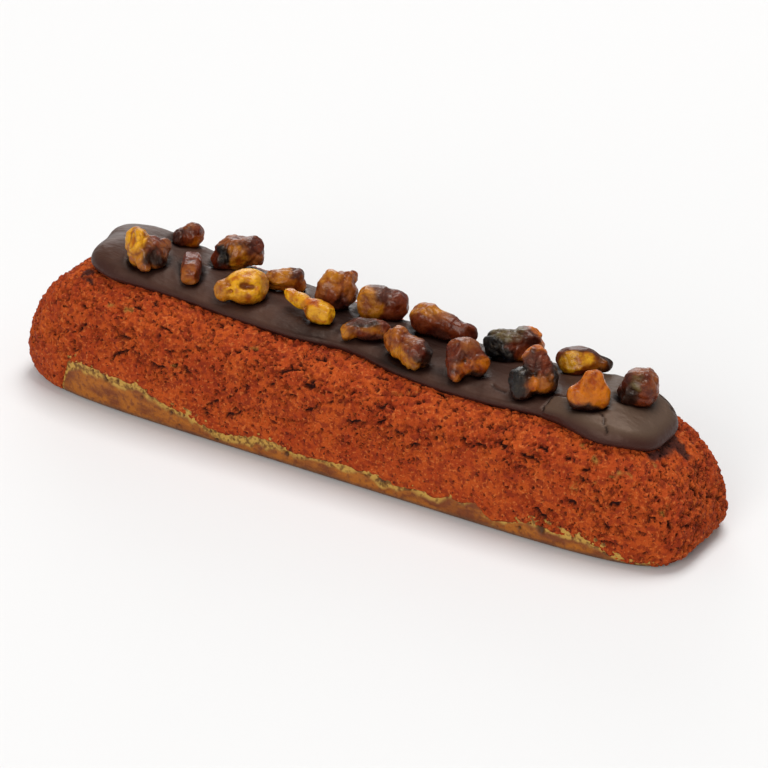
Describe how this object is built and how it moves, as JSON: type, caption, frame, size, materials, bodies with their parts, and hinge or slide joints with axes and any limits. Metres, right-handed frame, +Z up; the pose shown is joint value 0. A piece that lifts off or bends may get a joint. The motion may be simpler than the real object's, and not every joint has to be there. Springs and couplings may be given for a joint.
{
  "type": "chocolate eclair",
  "caption": "Long choux pastry bun with a crumbly cocoa craquelin crust, a band of chocolate ganache along the top and caramelised walnut pieces set in it.",
  "frame": {"origin": "on the table, under the middle of the bun's bounding box", "axes": "+X along the bun towards its lower, narrower end, +Y towards the back, +Z up"},
  "size_m": [0.15, 0.0334, 0.0371],
  "materials": {
    "choux": "baked choux pastry, matte, golden brown",
    "craquelin": "baked cocoa craquelin, matte, crumbly, red-brown",
    "ganache": "set dark chocolate ganache, satin",
    "walnut": "caramelised walnut pieces, semi-gloss, amber to dark brown"
  },
  "bodies": {
    "root": {"choux": "choux", "craquelin": "craquelin", "ganache": "ganache", "walnut_01": "walnut", "walnut_02": "walnut", "walnut_03": "walnut", "walnut_04": "walnut", "walnut_05": "walnut", "walnut_06": "walnut", "walnut_07": "walnut", "walnut_08": "walnut", "walnut_09": "walnut", "walnut_10": "walnut", "walnut_11": "walnut", "walnut_12": "walnut", "walnut_13": "walnut", "walnut_14": "walnut", "walnut_15": "walnut", "walnut_16": "walnut", "walnut_17": "walnut", "walnut_18": "walnut"}
  },
  "joints": []
}
